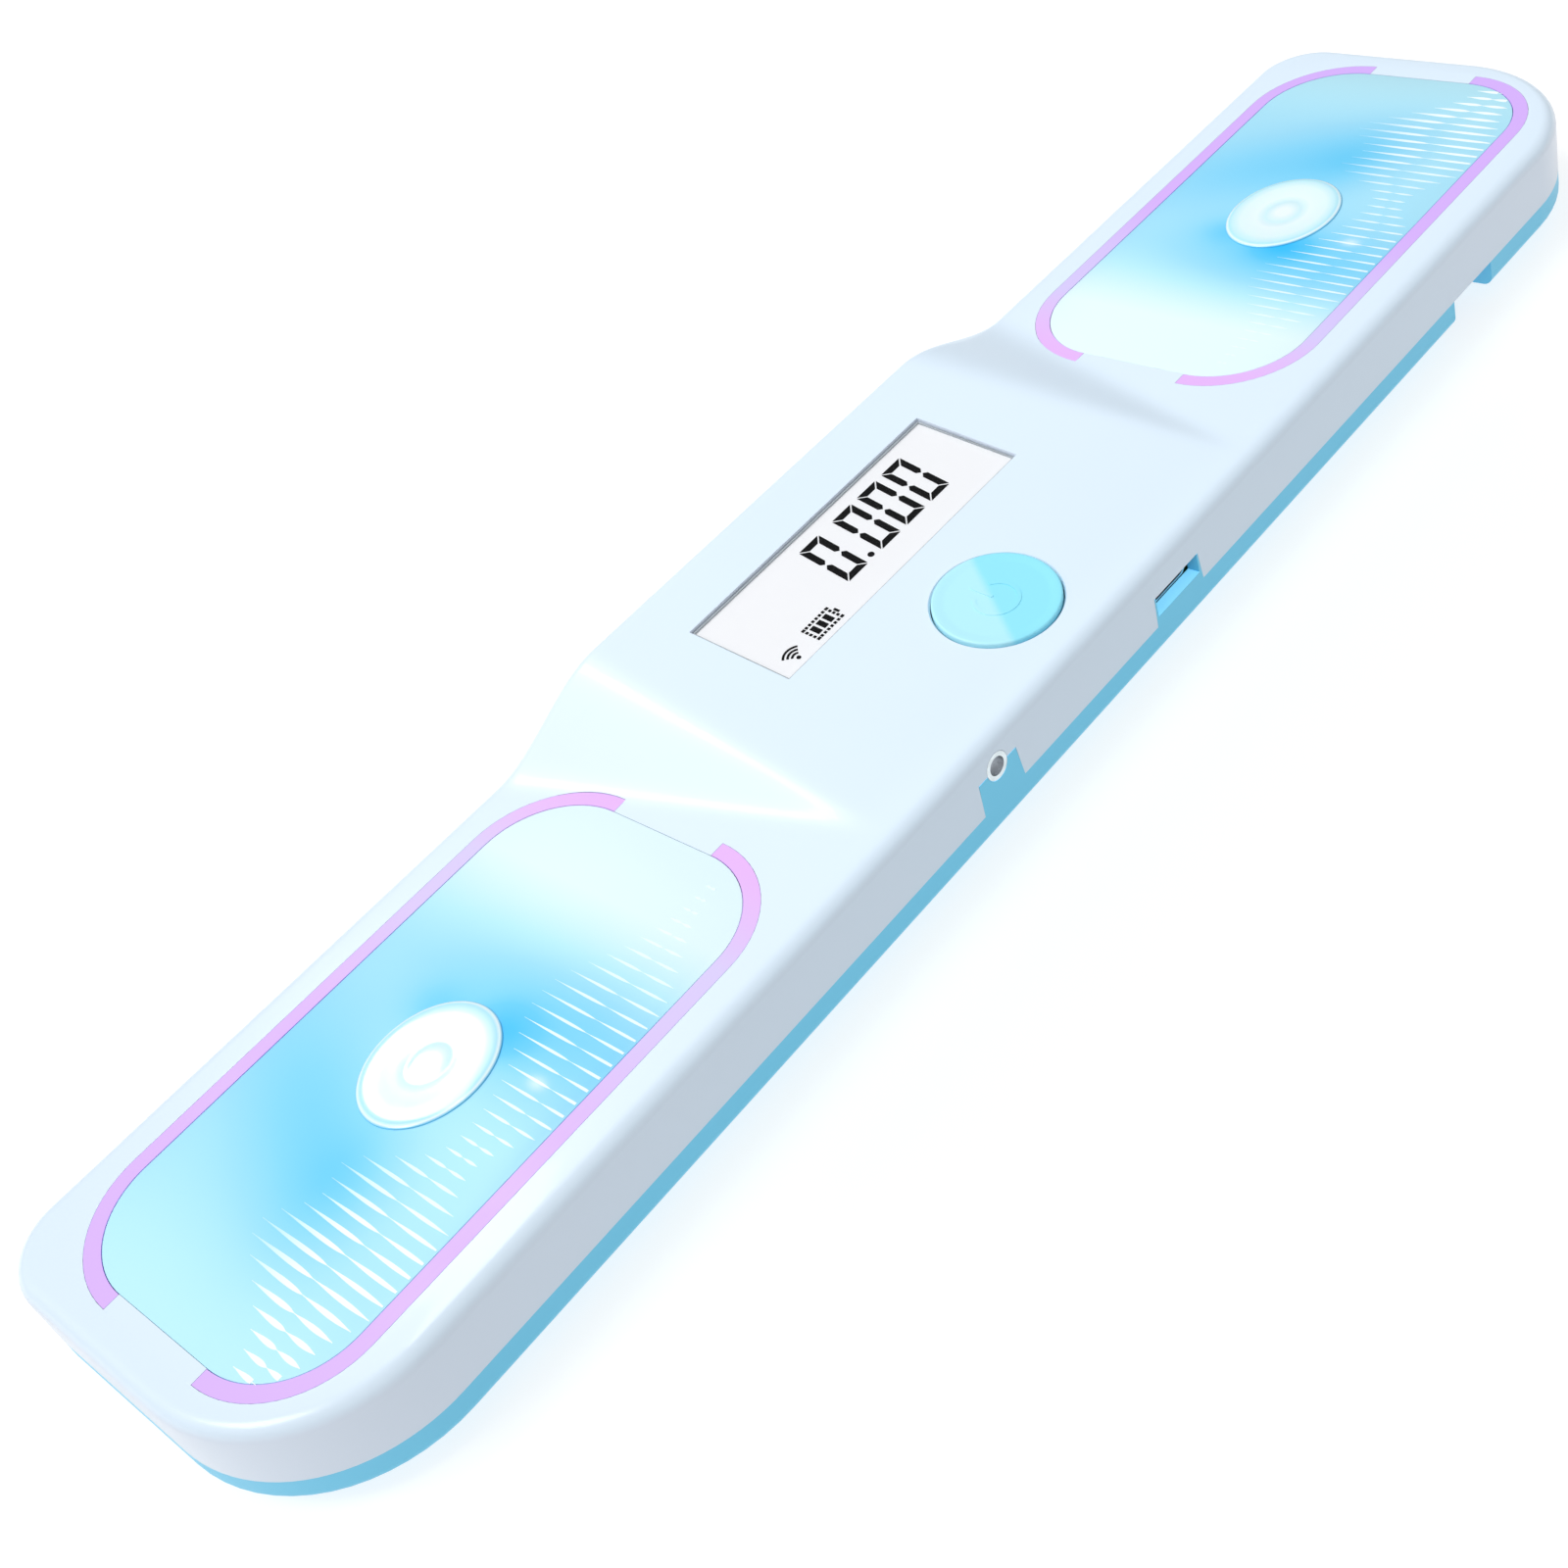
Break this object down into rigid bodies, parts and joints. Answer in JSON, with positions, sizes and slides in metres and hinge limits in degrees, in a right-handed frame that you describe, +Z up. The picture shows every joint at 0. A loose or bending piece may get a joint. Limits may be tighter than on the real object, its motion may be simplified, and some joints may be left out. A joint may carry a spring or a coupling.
{
  "type": "digital bathroom scale",
  "caption": "Slim bar-shaped electronic body scale with two foot pads, a tilted display deck, a push button, side sockets and sprung load-cell feet.",
  "frame": {"origin": "centre of the bar on the floor plane, under the middle of its length and width", "axes": "+X along the bar, +Y towards the raised back edge, -Y towards the sockets, +Z up"},
  "size_m": [0.2734, 0.0556, 0.0224],
  "materials": {
    "white_shell": "satin gloss",
    "blue_shell": "satin",
    "pad_print": "gloss print",
    "disc_white": "high gloss",
    "trim_purple": "gloss",
    "clear_window": "clear",
    "black_foam": "matte",
    "display_glass": "satin",
    "display_ink": "matte",
    "frame_plastic": "matte",
    "button_blue": "gloss",
    "black_plastic": "matte",
    "board_green": "solder mask",
    "bright_steel": "bright",
    "battery_wrap": "film",
    "white_plastic": "matte",
    "wire_red": "satin",
    "plate_steel": "brushed",
    "blue_cup": "satin",
    "foot_rubber": "matte"
  },
  "bodies": {
    "housing": {"top_shell": "white_shell", "bottom_shell": "blue_shell", "left_pad": "pad_print", "right_pad": "pad_print", "left_disc": "disc_white", "right_disc": "disc_white", "left_back_trim": "trim_purple", "left_front_trim": "trim_purple", "right_back_trim": "trim_purple", "right_front_trim": "trim_purple", "display_window": "clear_window", "window_gasket": "black_foam", "display_glass": "display_glass", "display_segments": "display_ink", "display_frame": "frame_plastic", "tact_switch": "black_plastic", "main_board": "board_green", "controller_chip": "black_plastic", "radio_module": "bright_steel", "usb_receptacle": "bright_steel", "usb_tongue": "black_plastic", "jack_barrel": "bright_steel", "jack_body": "black_plastic", "battery": "battery_wrap", "battery_tape": "white_plastic", "battery_socket": "white_plastic", "battery_plug": "white_plastic", "cell_wires": "wire_red", "left_beam": "plate_steel", "right_beam": "plate_steel", "left_cell_clamp": "white_plastic", "right_cell_clamp": "white_plastic", "shell_screws": "bright_steel", "load_cell_1": "plate_steel", "load_cell_2": "plate_steel", "load_cell_3": "plate_steel", "load_cell_4": "plate_steel"},
    "button": {"power_button": "button_blue", "switch_plunger": "black_plastic"},
    "foot_1": {"foot_cup_1": "blue_cup", "foot_pad_1": "foot_rubber"},
    "foot_2": {"foot_cup_2": "blue_cup", "foot_pad_2": "foot_rubber"},
    "foot_3": {"foot_cup_3": "blue_cup", "foot_pad_3": "foot_rubber"},
    "foot_4": {"foot_cup_4": "blue_cup", "foot_pad_4": "foot_rubber"}
  },
  "joints": [
    {"name": "button_press", "type": "slide", "parent": "housing", "child": "button", "axis": [0, 0.1231, -0.9924], "range_m": [0, 0.0005], "stiffness_N_per_m": 2000, "springref_m": -0.0004},
    {"name": "foot_1_load", "type": "slide", "parent": "housing", "child": "foot_1", "axis": [0, 0, 1], "range_m": [0, 0.0004], "stiffness_N_per_m": 3000, "springref_m": -0.0005},
    {"name": "foot_2_load", "type": "slide", "parent": "housing", "child": "foot_2", "axis": [0, 0, 1], "range_m": [0, 0.0004], "stiffness_N_per_m": 3000, "springref_m": -0.0005},
    {"name": "foot_3_load", "type": "slide", "parent": "housing", "child": "foot_3", "axis": [0, 0, 1], "range_m": [0, 0.0004], "stiffness_N_per_m": 3000, "springref_m": -0.0005},
    {"name": "foot_4_load", "type": "slide", "parent": "housing", "child": "foot_4", "axis": [0, 0, 1], "range_m": [0, 0.0004], "stiffness_N_per_m": 3000, "springref_m": -0.0005}
  ]
}
